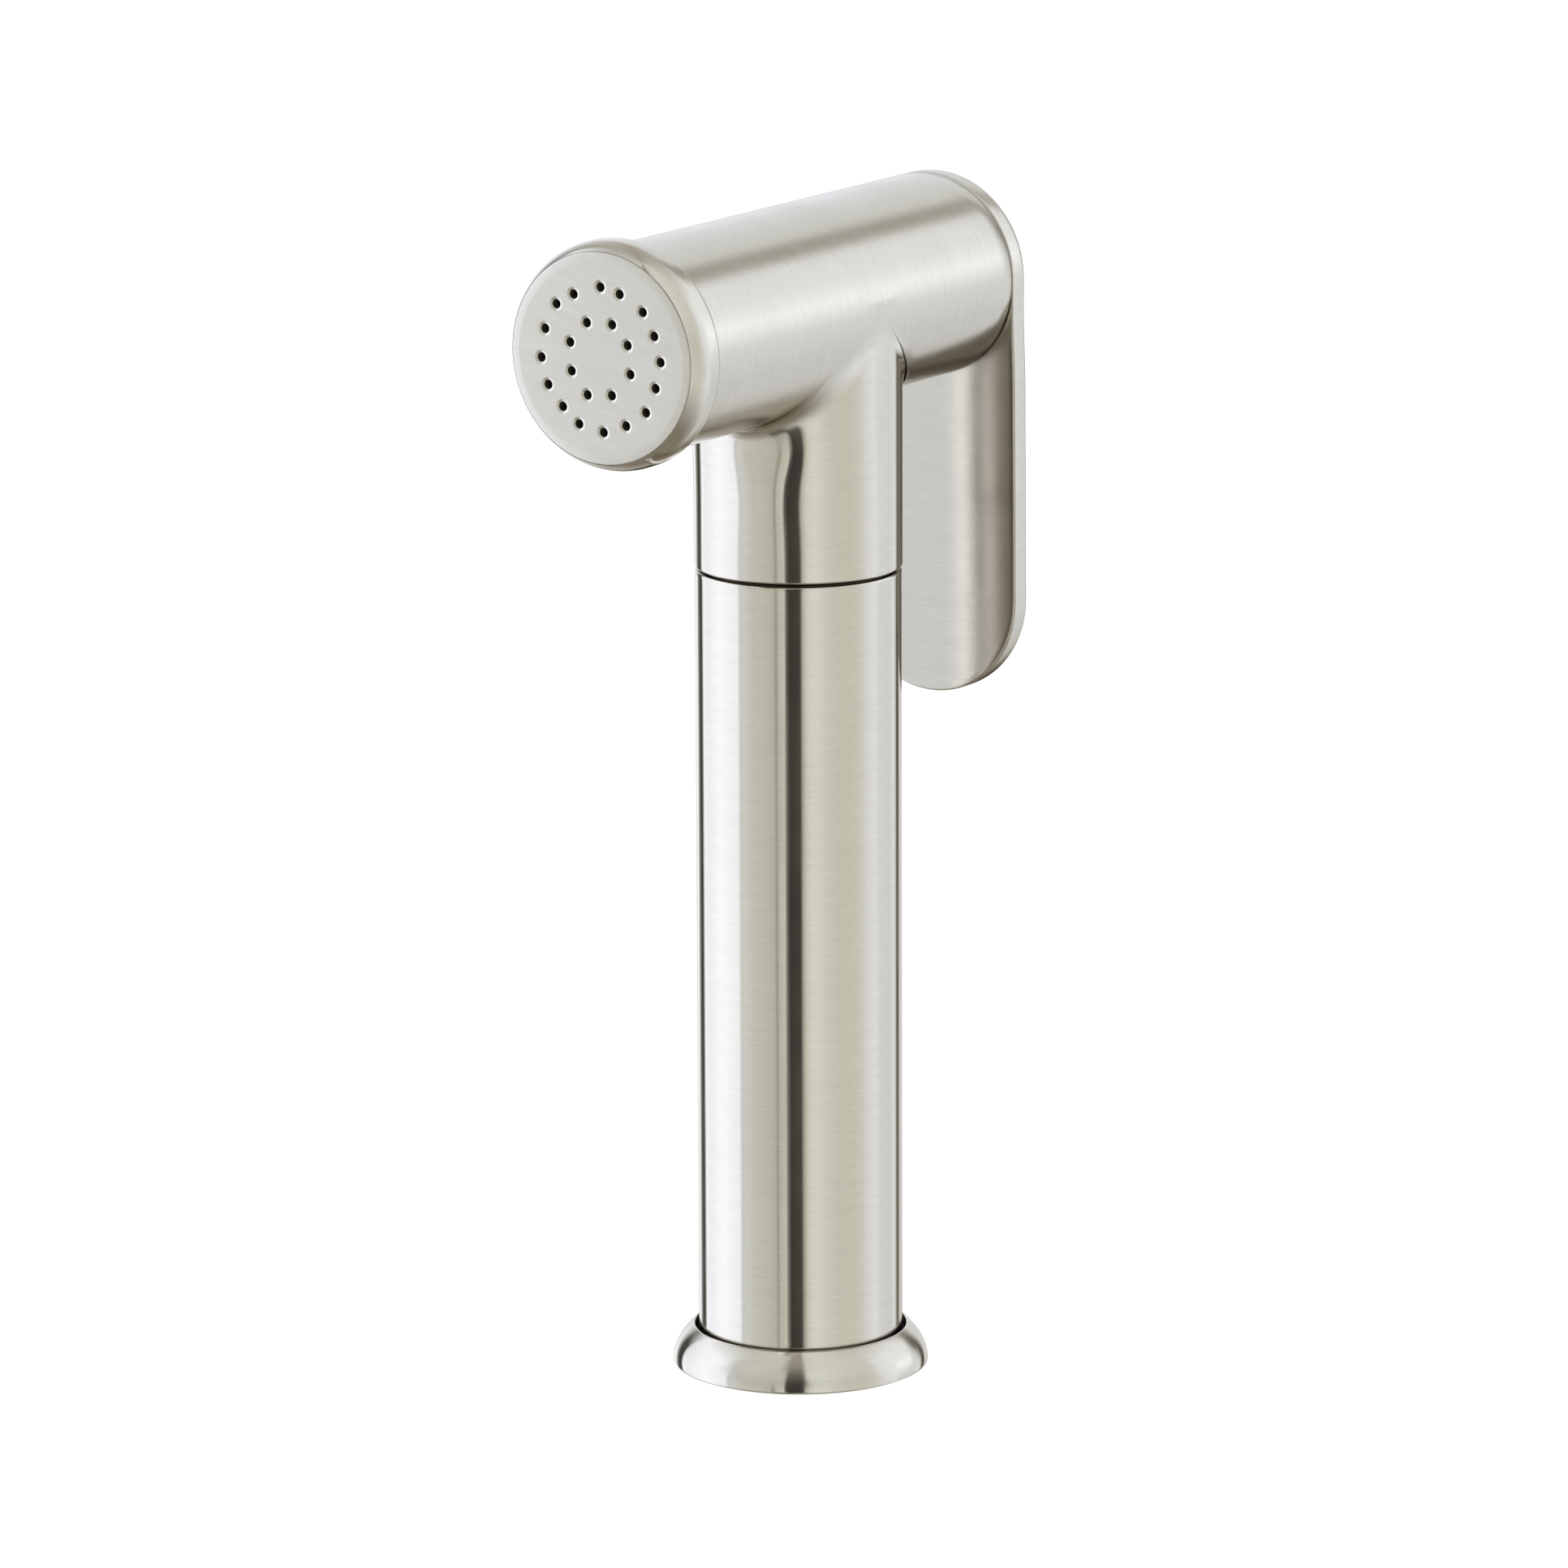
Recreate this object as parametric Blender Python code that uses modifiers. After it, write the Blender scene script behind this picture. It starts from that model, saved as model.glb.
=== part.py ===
"""Deck-mounted kitchen hand spray with a squeeze lever, resting in its holder.

Metres, +Z up along the handle. The origin is the centre of the deck hole on the deck's surface, under the
flange. The spray face looks along -Y and the squeeze lever is on the +Y side.
"""

import math

import bmesh
import bpy
from mathutils import Matrix, Vector

for old in list(bpy.data.objects):
    bpy.data.objects.remove(old, do_unlink=True)

MM = 0.001
GAP = 0.3  # clearance kept between pieces that touch, mm

# Driving dimensions, mm
TUBE_R = 16.0  # handle tube, outside
TUBE_BORE = 14.0
NECK_R = 16.15
HEAD_R = 16.0
HEAD_Z = 168.0  # axis of the head above the deck
SEAM_Z = 127.5  # groove between handle and neck
SEAM_H = 0.5
FACE_Y = -53.3  # spray face
BEZEL_BACK_Y = -47.2
BEZEL_R = 17.5
FACE_R = 16.0
REAR_Y = 37.0  # the lever's inner face, just behind the head's end
HANDLE_END_Z = 3.9
FLANGE_R = 20.0
FLANGE_H = 6.0
FLANGE_BORE = 16.6
SHANK_R = 15.0
SHANK_BORE = 12.8
SHANK_END_Z = -40.0
DECK_T = 20.0  # worktop thickness that the nut is drawn up for
TAIL_R = 11.0  # inlet tail that slides in the bush
NIPPLE_R = 7.5
NIPPLE_END_Z = -36.0
HOLE_R = 0.7
RING_OUT_R, RING_OUT_N, RING_OUT_PHASE = 10.7, 16, 2.5
RING_IN_R, RING_IN_N, RING_IN_PHASE = 5.8, 8, 24.0
# the holes are drilled a little unevenly: degrees along the ring, mm outwards
WANDER_OUT = ((0, 0), (-1, -0.2), (-2, 0.1), (1, -0.1), (-2.5, 0.1), (2.5, -0.2), (-1, 0.3), (0, 0), (1.5, 0.1),
              (1.5, 0), (1, -0.2), (-1.5, 0.3), (-0.5, 0.4), (-0.5, 0), (0, 0.2), (0, -0.3))
WANDER_IN = ((3, -0.4), (0, -0.1), (1.5, 0), (1, 0.1), (-0.5, 0), (-2.5, 0.4), (-4.5, -0.1), (1.5, -0.2))
PIVOT_Y, PIVOT_Z = 31.0, 160.0  # lever pin
PIN_R = 1.75
PIN_HOLE_R = 2.05
STEM_R = 2.0
LEVER_END_Z = 100.8
SIDE_T = 2.7  # straight side wall of the lever
CROWN_W, CROWN_H = 11.0, 4.0
STEP_TOP_Z, STEP_LOW_Z, STEP = 164.0, 150.0, 0.55  # the lever stands off by this much below the head
LEVER_LEAN = 0.011  # mm outwards per mm of length below the step
TURN = 40  # segments of the large turned pieces

coll = bpy.data.collections.new("hand_spray")
bpy.context.scene.collection.children.link(coll)
tools = bpy.data.collections.new("cutters")
bpy.context.scene.collection.children.link(tools)

_mats = {}


def material(name, rgb, metallic=0.0, rough=0.4):
    if name not in _mats:
        m = bpy.data.materials.new(name)
        m.use_nodes = True
        bsdf = m.node_tree.nodes["Principled BSDF"]
        bsdf.inputs["Base Color"].default_value = (*rgb, 1.0)
        bsdf.inputs["Metallic"].default_value = metallic
        bsdf.inputs["Roughness"].default_value = rough
        _mats[name] = m
    return _mats[name]


def nickel(name):
    return material(name + "_nickel", (0.64, 0.62, 0.58), 1.0, 0.28)


def brass(name):
    return material(name + "_brass", (0.72, 0.56, 0.28), 1.0, 0.35)


def steel(name):
    return material(name + "_steel", (0.62, 0.62, 0.62), 1.0, 0.35)


def rubber(name):
    return material(name + "_rubber", (0.03, 0.03, 0.03), 0.0, 0.7)


def nylon(name, rgb=(0.75, 0.74, 0.70)):
    return material(name + "_nylon", rgb, 0.0, 0.45)


def finish(ob, mat, smooth=35.0):
    """Give the piece its material and shade it smooth across shallow edges."""
    ob.data.materials.clear()
    ob.data.materials.append(mat)
    ob.data.shade_smooth()
    ob.data.set_sharp_from_angle(angle=math.radians(smooth))
    return ob


def new_object(name, mesh, where):
    ob = bpy.data.objects.new(name, mesh)
    where.objects.link(ob)
    if where is tools:
        ob.hide_render = True
        ob.display_type = "WIRE"
    return ob


def turned(name, pts, axis="Z", at=(0, 0, 0), steps=TURN, ring=True, where=None):
    """Turn a profile of (radius, height) points, in mm, outer side from top to bottom.

    ring=True closes the profile back to its first point; otherwise it begins and ends on the axis.
    axis "Y" lays the height along +Y. at is the object's origin, and heights are measured in the world.
    """
    base = at[2] if axis == "Z" else at[1]
    verts = [(r * MM, 0.0, (h - base) * MM) for r, h in pts]
    edges = [(i, i + 1) for i in range(len(verts) - 1)]
    if ring:
        edges.append((len(verts) - 1, 0))
    me = bpy.data.meshes.new(name)
    me.from_pydata(verts, edges, [])
    ob = new_object(name, me, where or coll)
    ob.location = tuple(c * MM for c in at)
    if axis == "Y":
        ob.rotation_euler = (math.radians(-90), 0, 0)
    s = ob.modifiers.new("turn", "SCREW")
    s.angle = math.tau
    s.steps = s.render_steps = steps
    s.use_merge_vertices = True
    s.merge_threshold = 0.00001
    s.use_smooth_shade = True
    return ob


def o_ring(name, major, minor, axis, centre, steps=24, sides=6):
    """A turned ring of round section whose centre circle is at centre along the axis."""
    pts = []
    for k in range(sides):
        a = math.pi / 2 - math.tau * (k + 0.5) / sides
        pts.append((major + minor * math.cos(a), centre + minor * math.sin(a)))
    at = (0, 0, 0) if axis == "Z" else (0, 0, HEAD_Z)
    return turned(name, pts, axis, at, steps)


def boolean(ob, other, operation="DIFFERENCE"):
    m = ob.modifiers.new(other.name, "BOOLEAN")
    m.operation = operation
    m.object = other
    m.solver = "EXACT"
    return m


def drill(name, centres, radius, y0, y1, sides=10):
    """One cutter made of round bars along Y at (x, z) centres."""
    bm = bmesh.new()
    for x, z in centres:
        mat = Matrix.Translation(Vector((x, (y0 + y1) / 2, z)) * MM) @ Matrix.Rotation(math.pi / 2, 4, "X")
        bmesh.ops.create_cone(
            bm, cap_ends=True, segments=sides, radius1=radius * MM, radius2=radius * MM,
            depth=(y1 - y0) * MM, matrix=mat,
        )
    me = bpy.data.meshes.new(name)
    bm.to_mesh(me)
    bm.free()
    return new_object(name, me, tools)


def bar(name, axis, radius, a, b, at, sides=20, where=None):
    """A solid round bar along X, Y or Z from a to b through the point at, in mm."""
    bm = bmesh.new()
    turn = {"Z": Matrix.Identity(4), "X": Matrix.Rotation(math.pi / 2, 4, "Y"),
            "Y": Matrix.Rotation(-math.pi / 2, 4, "X")}[axis]
    bmesh.ops.create_cone(
        bm, cap_ends=True, segments=sides, radius1=radius * MM, radius2=radius * MM,
        depth=(b - a) * MM, matrix=turn,
    )
    me = bpy.data.meshes.new(name)
    bm.to_mesh(me)
    bm.free()
    ob = new_object(name, me, where or coll)
    loc = list(at)
    loc["XYZ".index(axis)] = (a + b) / 2
    ob.location = tuple(c * MM for c in loc)
    return ob


def ring_points(radius, count, phase, wander=()):
    """Points round a ring; wander lists how far each one strays, in degrees and in mm."""
    out = []
    for k in range(count):
        turn, off = wander[k] if wander else (0, 0)
        a = math.radians(phase + 360.0 * k / count + turn)
        out.append(((radius + off) * math.cos(a), HEAD_Z + (radius + off) * math.sin(a)))
    return out


# ---------------------------------------------------------------- holder in the deck
def deck_flange():
    dome = []
    for t in (32, 27, 21, 14, 7, 0):
        a = math.radians(t)
        dome.append((FLANGE_R * math.cos(a), 0.3 + (FLANGE_H - 0.3) / math.sin(math.radians(32.8)) * math.sin(a)))
    pts = [(FLANGE_BORE, FLANGE_H - 0.3), (16.72, FLANGE_H - 0.06)] + dome + [
        (FLANGE_R - 0.1, 0.0), (19.4, 0.0), (19.4, 0.9), (17.2, 0.9), (17.2, 0.0), (15.4, 0.0),
        (15.4, 1.2), (FLANGE_BORE, 1.2),
    ]
    return finish(turned("deck_flange", pts), nickel("flange"))


def flange_gasket():
    pts = [(17.5, 0.6), (19.1, 0.6), (19.1, 0.0), (17.5, 0.0)]
    return finish(turned("flange_gasket", pts, steps=32), rubber("gasket"))


def holder_shank():
    thread = []
    z = -2.0
    while z > SHANK_END_Z + 2.0:  # rounded thread drawn as rings at its pitch
        thread += [(SHANK_R, z), (SHANK_R - 0.7, z - 3.0)]
        z -= 6.0
    pts = [(16.3, 2.5), (16.3, 1.5), (SHANK_R, 1.5)] + thread + [
        (SHANK_R - 0.7, SHANK_END_Z), (SHANK_BORE, SHANK_END_Z), (SHANK_BORE, 2.5),
    ]
    return finish(turned("holder_shank", pts, steps=28), brass("shank"), 20)


def under_deck():
    lo = -DECK_T
    a = turned("mounting_washer", [(15.4, lo), (22.0, lo), (22.0, lo - 2.2), (15.4, lo - 2.2)], steps=28)
    finish(a, rubber("washer"))
    b = turned("mounting_plate", [(15.4, lo - 2.5), (21.5, lo - 2.5), (21.5, lo - 4.0), (15.4, lo - 4.0)],
               steps=28)
    finish(b, steel("plate"))
    nut = bar("mounting_nut", "Z", 22.5, lo - 12.5, lo - 4.3, (0, 0, 0), sides=6)
    boolean(nut, bar("nut_bore", "Z", 15.4, lo - 15, lo, (0, 0, 0), sides=28, where=tools))
    finish(nut, brass("nut"), 20)


def holder_bush():
    pts = [(11.3, 3.6), (16.2, 3.6), (16.2, 2.8), (12.5, 2.8), (12.5, -24.0), (11.3, -24.0)]
    return finish(turned("holder_bush", pts, steps=28), nylon("bush", (0.08, 0.08, 0.08)))


# ---------------------------------------------------------------- handle
def handle_tube():
    top = SEAM_Z - SEAM_H / 2
    pts = [
        (TUBE_R - 0.3, top), (TUBE_R, top - 0.3), (TUBE_R, HANDLE_END_Z + 0.3), (TUBE_R - 0.3, HANDLE_END_Z),
        (TUBE_BORE, HANDLE_END_Z), (TUBE_BORE, top - 1.05), (15.2, top - 1.05), (15.2, top),
    ]
    return finish(turned("handle_tube", pts), nickel("tube"))


def seam_washer():
    top = SEAM_Z
    pts = [(14.05, top), (14.9, top), (14.9, top - 1.0), (14.05, top - 1.0)]
    return finish(turned("seam_washer", pts, steps=32), material("seam_bronze", (0.10, 0.07, 0.05), 0.6, 0.4))


def water_way():
    pts = [(6.8, 132.0), (8.0, 132.0), (8.0, 14.3), (6.8, 14.3)]
    finish(turned("water_tube", pts, steps=24), nylon("water_tube"))
    finish(o_ring("water_tube_seal_top", 9.3, 0.95, "Z", 118.3), rubber("seal_top"))
    finish(o_ring("water_tube_seal_low", 9.3, 0.95, "Z", 19.2), rubber("seal_low"))


def inlet_fitting():
    pts = [
        (10.6, 20.5), (13.7, 20.5), (13.7, 12.2), (12.3, 12.2), (12.3, 9.8), (13.7, 9.8), (13.7, 6.4),
        (TAIL_R, 6.4), (TAIL_R, -25.4), (TAIL_R - 0.6, -26.0), (NIPPLE_R, -26.0),
        (NIPPLE_R, NIPPLE_END_Z + 0.6), (NIPPLE_R - 0.6, NIPPLE_END_Z), (6.2, NIPPLE_END_Z),
        (6.2, -33.6), (4.5, -33.6), (4.5, -8.3), (6.9, -8.3), (6.9, 14.0), (8.4, 14.0), (8.4, 18.0),
        (10.6, 18.0),
    ]
    finish(turned("inlet_fitting", pts, steps=28), brass("inlet"))
    finish(o_ring("inlet_seal", 13.15, 0.6, "Z", 11.0, steps=28), rubber("inlet_seal"))
    bill = [(1.3, 4.0), (4.7, -6.5), (6.6, -6.5), (6.6, -8.0), (3.6, -8.0), (3.6, -6.5), (0.5, 4.0)]
    finish(turned("check_valve", bill, steps=18), rubber("check_valve"))
    disc = turned("inlet_strainer", [(0, -34.0), (5.9, -34.0), (5.9, -35.4), (0, -35.4)], steps=24, ring=False)
    bm = bmesh.new()
    spots = [(0, 0)] + [(3.5 * math.cos(math.tau * k / 6), 3.5 * math.sin(math.tau * k / 6)) for k in range(6)]
    for x, y in spots:
        bmesh.ops.create_cone(bm, cap_ends=True, segments=6, radius1=1.1 * MM, radius2=1.1 * MM, depth=4 * MM,
                              matrix=Matrix.Translation(Vector((x, y, -34.7)) * MM))
    me = bpy.data.meshes.new("strainer_holes")
    bm.to_mesh(me)
    bm.free()
    boolean(disc, new_object("strainer_holes", me, tools))
    finish(disc, steel("strainer"))


# ---------------------------------------------------------------- head
def head_body():
    at = (0, 0, HEAD_Z)
    back = REAR_Y - GAP
    pts = [
        (0, back), (HEAD_R - 0.3, back), (HEAD_R, back - 0.3), (HEAD_R, BEZEL_BACK_Y + GAP),
        (14.4, BEZEL_BACK_Y + GAP), (14.4, -49.6), (0, -49.6),
    ]
    body = turned("head_body", pts, "Y", at, ring=False)
    low = SEAM_Z + SEAM_H / 2
    neck = [
        (0, HEAD_Z), (15.8, HEAD_Z), (NECK_R, HEAD_Z - 5), (NECK_R, low + 0.3), (NECK_R - 0.3, low),
        (13.7, low), (13.7, 117.0), (0, 117.0),
    ]
    boolean(body, turned("neck_solid", neck, ring=False, where=tools), "UNION")
    along = [
        (0, 42), (13.4, 42), (13.4, 17.7), (5.6, 17.7), (5.6, 13.7), (10.0, 13.7), (10.0, -8.0),
        (13.2, -8.0), (13.2, -55), (0, -55),
    ]
    boolean(body, turned("head_bores", along, "Y", at, steps=32, ring=False, where=tools))
    up = [
        (0, 165.0), (6.8, 165.0), (6.8, 134.0), (8.4, 134.0), (8.4, 119.6), (10.6, 119.6), (10.6, 112),
        (0, 112),
    ]
    boolean(body, turned("neck_bore", up, steps=24, ring=False, where=tools))
    boolean(body, bar("pin_bore", "X", PIN_HOLE_R, -20, 12.9, (0, PIVOT_Y, PIVOT_Z), 12, tools))
    return finish(body, nickel("head"))


def lever_pin():
    return finish(bar("lever_pin", "X", PIN_R, -13.3, 12.6, (0, PIVOT_Y, PIVOT_Z), 12), steel("pin"))


def spray_front():
    at = (0, 0, HEAD_Z)
    pts = [(14.8, BEZEL_BACK_Y), (BEZEL_R - 0.4, BEZEL_BACK_Y), (BEZEL_R, BEZEL_BACK_Y - 0.4)]
    pts += [(BEZEL_R, -49.0), (17.45, -49.9), (17.35, -50.65), (17.2, -51.25), (17.0, -51.77), (16.75, -52.25),
            (16.45, -52.7), (16.12, -53.12), (16.1, -51.0), (14.8, -51.0)]
    finish(turned("spray_bezel", pts, "Y", at), nickel("bezel"))

    face = turned("spray_face", [(0, -51.3), (FACE_R, -51.3), (FACE_R, FACE_Y + 0.2),
                                 (FACE_R - 0.15, FACE_Y), (0, FACE_Y)], "Y", at, ring=False)
    spots = ring_points(RING_OUT_R, RING_OUT_N, RING_OUT_PHASE, WANDER_OUT)
    spots += ring_points(RING_IN_R, RING_IN_N, RING_IN_PHASE, WANDER_IN)
    boolean(face, drill("spray_holes", spots, HOLE_R, FACE_Y - 2, FACE_Y + 5, 6))
    finish(face, nickel("face"))

    gasket = [(13.3, -50.0), (14.4, -50.0), (14.4, -50.8), (13.3, -50.8)]
    finish(turned("face_gasket", gasket, "Y", at, steps=28), rubber("face_gasket"))

    cup = turned("flow_disc", [(0, -43.0), (12.8, -43.0), (12.8, -50.9), (12.0, -50.9), (12.0, -44.2), (0, -44.2)],
                 "Y", at, steps=28, ring=False)
    spots = list(ring_points(7.5, 6, 0))
    boolean(cup, drill("flow_holes", spots, 1.3, -48, -40, 6))
    finish(cup, nylon("flow_disc"))


def valve_parts():
    at = (0, 0, HEAD_Z)
    seat = [
        (5.0, -6.5), (6.2, -6.5), (6.2, -8.3), (10.7, -8.3), (10.7, -9.5), (12.3, -9.5), (12.3, -8.3), (12.9, -8.3),
        (12.9, -13.5), (5.0, -13.5),
    ]
    finish(turned("valve_seat", seat, "Y", at, steps=24), brass("seat"))
    finish(o_ring("seat_seal", 11.5, 0.45, "Y", -8.85), rubber("seat_seal"))
    gland = [
        (2.3, 20.0), (7.6, 20.0), (7.6, 18.0), (5.3, 18.0), (5.3, 11.0), (2.3, 11.0), (2.3, 13.0), (3.9, 13.0),
        (3.9, 14.6), (2.3, 14.6),
    ]
    finish(turned("stem_gland", gland, "Y", at, steps=20), brass("gland"))
    finish(o_ring("gland_seal", 3.1, 0.55, "Y", 13.8, steps=16), rubber("gland_seal"))
    stem = [
        (0, 31.8), (3.6, 31.8), (3.6, 30.0), (STEM_R, 30.0), (STEM_R, -2.4), (7.8, -2.4), (7.8, -3.9),
        (STEM_R, -3.9), (STEM_R, -8.9), (0, -8.9),
    ]
    finish(turned("valve_stem", stem, "Y", at, steps=20, ring=False), steel("stem"))
    disc = [(2.3, -4.2), (7.4, -4.2), (7.4, -6.2), (2.3, -6.2)]
    finish(turned("valve_washer", disc, "Y", at, steps=24), rubber("valve_washer"))
    keep = [(2.3, -6.5), (4.2, -6.5), (4.2, -8.4), (2.3, -8.4)]
    finish(turned("washer_retainer", keep, "Y", at, steps=16), brass("retainer"))


def valve_spring():
    """Compression spring between the stem's collar and the gland."""
    turns, radius, wire = 4, 4.2, 0.45
    y0, y1 = -1.6, 10.2
    n = turns * 10
    cu = bpy.data.curves.new("valve_spring_wire", "CURVE")
    cu.dimensions = "3D"
    cu.bevel_depth = wire * MM
    cu.bevel_resolution = 0
    cu.use_fill_caps = True
    sp = cu.splines.new("POLY")
    sp.points.add(n)
    for k in range(n + 1):
        a = math.tau * turns * k / n
        sp.points[k].co = (radius * math.cos(a) * MM, (y0 + (y1 - y0) * k / n) * MM, radius * math.sin(a) * MM, 1)
    wire_ob = new_object("valve_spring_wire", cu, tools)
    wire_ob.location = (0, 0, HEAD_Z * MM)
    bpy.context.view_layer.update()
    deps = bpy.context.evaluated_depsgraph_get()
    me = bpy.data.meshes.new_from_object(wire_ob.evaluated_get(deps))
    bm = bmesh.new()
    bm.from_mesh(me)
    bmesh.ops.remove_doubles(bm, verts=bm.verts, dist=0.00001)
    bm.to_mesh(me)
    bm.free()
    me.name = "valve_spring"
    ob = new_object("valve_spring", me, coll)
    ob.matrix_world = wire_ob.matrix_world.copy()
    bpy.data.objects.remove(wire_ob, do_unlink=True)
    return finish(ob, steel("spring"), 60)


# ---------------------------------------------------------------- squeeze lever
def stand_off(z):
    """How far the lever's inner face lies behind REAR_Y at height z."""
    t = min(1.0, max(0.0, (STEP_TOP_Z - z) / (STEP_TOP_Z - STEP_LOW_Z)))
    return STEP * t * t * (3 - 2 * t) + LEVER_LEAN * max(0.0, STEP_LOW_Z - z)


def stadium(inset, y, arc=10):
    """The lever's outline moved in by inset, at depth y behind its inner face."""
    r = HEAD_R - inset
    top, low = HEAD_Z, LEVER_END_Z + HEAD_R
    levels = (164.0, 161.0, 157.0, 153.0, 150.0, 140.0, 129.0)
    out = []
    for k in range(arc + 1):
        a = math.pi * k / arc
        out.append((r * math.cos(a), top + r * math.sin(a)))
    for z in levels:
        out.append((-r, z))
    for k in range(arc + 1):
        a = math.pi + math.pi * k / arc
        out.append((r * math.cos(a), low + r * math.sin(a)))
    for z in reversed(levels):
        out.append((r, z))
    return [Vector((x, REAR_Y + y + stand_off(z), z)) * MM for x, z in out]


def lever():
    """A flat-faced stadium cover with a crowned back, two lugs for the pin and a fork for the stem."""
    sections = [(15.2, 0.0), (8.0, 0.0), (0.3, 0.0), (0.0, 0.3)]
    for k in range(7):
        t = math.radians(90 * k / 6)
        sections.append((CROWN_W * (1 - math.cos(t)), SIDE_T + CROWN_H * math.sin(t)))
    sections.append((15.2, SIDE_T + CROWN_H))

    bm = bmesh.new()
    loops = [[bm.verts.new(p) for p in stadium(s, y)] for s, y in sections]
    n = len(loops[0])
    for a, b in zip(loops, loops[1:]):
        for k in range(n):
            bm.faces.new((a[k], a[(k + 1) % n], b[(k + 1) % n], b[k]))
    for ring in (loops[0], loops[-1]):  # the middle strip, filled level by level so that it follows the bend
        half = n // 2 + 1
        left = [ring[(5 + i) % n] for i in range(half)]
        right = [ring[(5 - i) % n] for i in range(half)]
        for i in range(half - 1):
            corners = []
            for v in (left[i], left[i + 1], right[i + 1], right[i]):
                if v not in corners:
                    corners.append(v)
            bm.faces.new(corners)
    bmesh.ops.recalc_face_normals(bm, faces=bm.faces)
    bmesh.ops.transform(bm, matrix=Matrix.Translation(Vector((0, -PIVOT_Y, -PIVOT_Z)) * MM), verts=bm.verts)
    me = bpy.data.meshes.new("lever")
    bm.to_mesh(me)
    bm.free()
    ob = new_object("lever", me, coll)
    ob.location = Vector((0, PIVOT_Y, PIVOT_Z)) * MM

    def plate(name, x0, x1, outline):
        b = bmesh.new()
        vs = [b.verts.new(Vector((x0, y, z)) * MM) for y, z in outline]
        face = b.faces.new(vs)
        ext = bmesh.ops.extrude_face_region(b, geom=[face])
        moved = [g for g in ext["geom"] if isinstance(g, bmesh.types.BMVert)]
        bmesh.ops.translate(b, vec=Vector((x1 - x0, 0, 0)) * MM, verts=moved)
        bmesh.ops.recalc_face_normals(b, faces=b.faces)
        m = bpy.data.meshes.new(name)
        b.to_mesh(m)
        b.free()
        return new_object(name, m, tools)

    lug = []
    for k in range(7):  # round eye under the pin
        a = math.radians(180 + 140 * k / 6)
        lug.append((PIVOT_Y + 3.0 * math.cos(a), PIVOT_Z + 3.0 * math.sin(a)))
    lug += [(41.6, 158.4), (41.6, 172.0), (33.5, 172.0), (31.0, 169.2), (27.4, 169.2)]
    fork = [(27.4, 163.0), (29.7, 163.0), (29.7, 169.2), (27.4, 169.2)]
    for side in (-1, 1):
        a, b = sorted((side * 4.2, side * 6.6))
        boolean(ob, plate("lug_%d" % (side + 1), a, b, lug), "UNION")
        a, b = sorted((side * 2.4, side * 5.0))
        boolean(ob, plate("fork_%d" % (side + 1), a, b, fork), "UNION")
    boolean(ob, bar("lug_bore", "X", PIN_HOLE_R, -9, 9, (0, PIVOT_Y, PIVOT_Z), 12, tools))
    return finish(ob, nickel("lever"), 30)


deck_flange()
flange_gasket()
holder_shank()
under_deck()
holder_bush()
handle_tube()
seam_washer()
water_way()
inlet_fitting()
head_body()
lever_pin()
spray_front()
valve_parts()
valve_spring()
lever()
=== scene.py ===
"""Looks of the kitchen hand spray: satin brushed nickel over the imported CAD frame."""

import math

import bmesh
import bpy
from mathutils import Matrix, Vector


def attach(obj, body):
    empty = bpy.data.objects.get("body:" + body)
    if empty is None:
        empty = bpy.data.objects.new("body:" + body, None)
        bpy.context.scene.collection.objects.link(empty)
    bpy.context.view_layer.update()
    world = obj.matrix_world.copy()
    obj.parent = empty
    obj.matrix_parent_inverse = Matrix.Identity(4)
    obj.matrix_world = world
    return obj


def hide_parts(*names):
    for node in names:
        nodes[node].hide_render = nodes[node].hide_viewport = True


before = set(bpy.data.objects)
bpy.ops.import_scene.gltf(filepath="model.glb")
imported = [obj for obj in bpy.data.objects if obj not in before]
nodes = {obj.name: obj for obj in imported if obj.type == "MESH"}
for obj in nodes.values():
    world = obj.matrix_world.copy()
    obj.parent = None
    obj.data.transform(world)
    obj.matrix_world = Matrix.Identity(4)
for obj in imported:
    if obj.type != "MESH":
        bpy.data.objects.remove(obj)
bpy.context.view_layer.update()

MM = 0.001  # every size below is in millimetres unless its name says otherwise
HEAD_Z = 168.0  # height of the head's axis, which runs along Y
HEAD_R = 16.0
NECK_R = 16.15
TUBE_R = 16.0
FLANGE_R = 20.0
FLANGE_BORE = 16.6
BUSH_R, BUSH_BORE, BUSH_TOP_R = 12.5, 11.3, 16.2
SEAM_TOP_Z, SEAM_LOW_Z = 127.75, 127.25  # the groove between the neck and the handle
TAIL_R = 11.0  # inlet tail that slides in the bush
NIPPLE_R, NIPPLE_END_Z, THREAD_PITCH, THREAD_DEPTH = 7.5, -36.0, 1.8, 0.5
FACE_Y, FACE_R = -53.3, 16.05  # the spray face
REAR_Y = 37.0  # the head's rear end, where the lever's inner face lies
PIVOT_Y, PIVOT_Z = 31.0, 160.0  # the lever's pin
ROUND = 144  # segments of the large turned pieces
METAL = (0.76, 0.72, 0.66)  # satin nickel's reflectance


# ---------------------------------------------------------------- node helpers
def new_mat(name):
    m = bpy.data.materials.new(name)
    m.use_nodes = True
    nt = m.node_tree
    nt.nodes.clear()
    out = nt.nodes.new("ShaderNodeOutputMaterial")
    bsdf = nt.nodes.new("ShaderNodeBsdfPrincipled")
    nt.links.new(bsdf.outputs[0], out.inputs[0])
    return m, nt, bsdf


def mapped(nt, source, scale, offset=(0, 0, 0)):
    mp = nt.nodes.new("ShaderNodeMapping")
    mp.inputs["Scale"].default_value = scale
    mp.inputs["Location"].default_value = offset
    nt.links.new(source, mp.inputs["Vector"])
    return mp.outputs[0]


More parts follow.
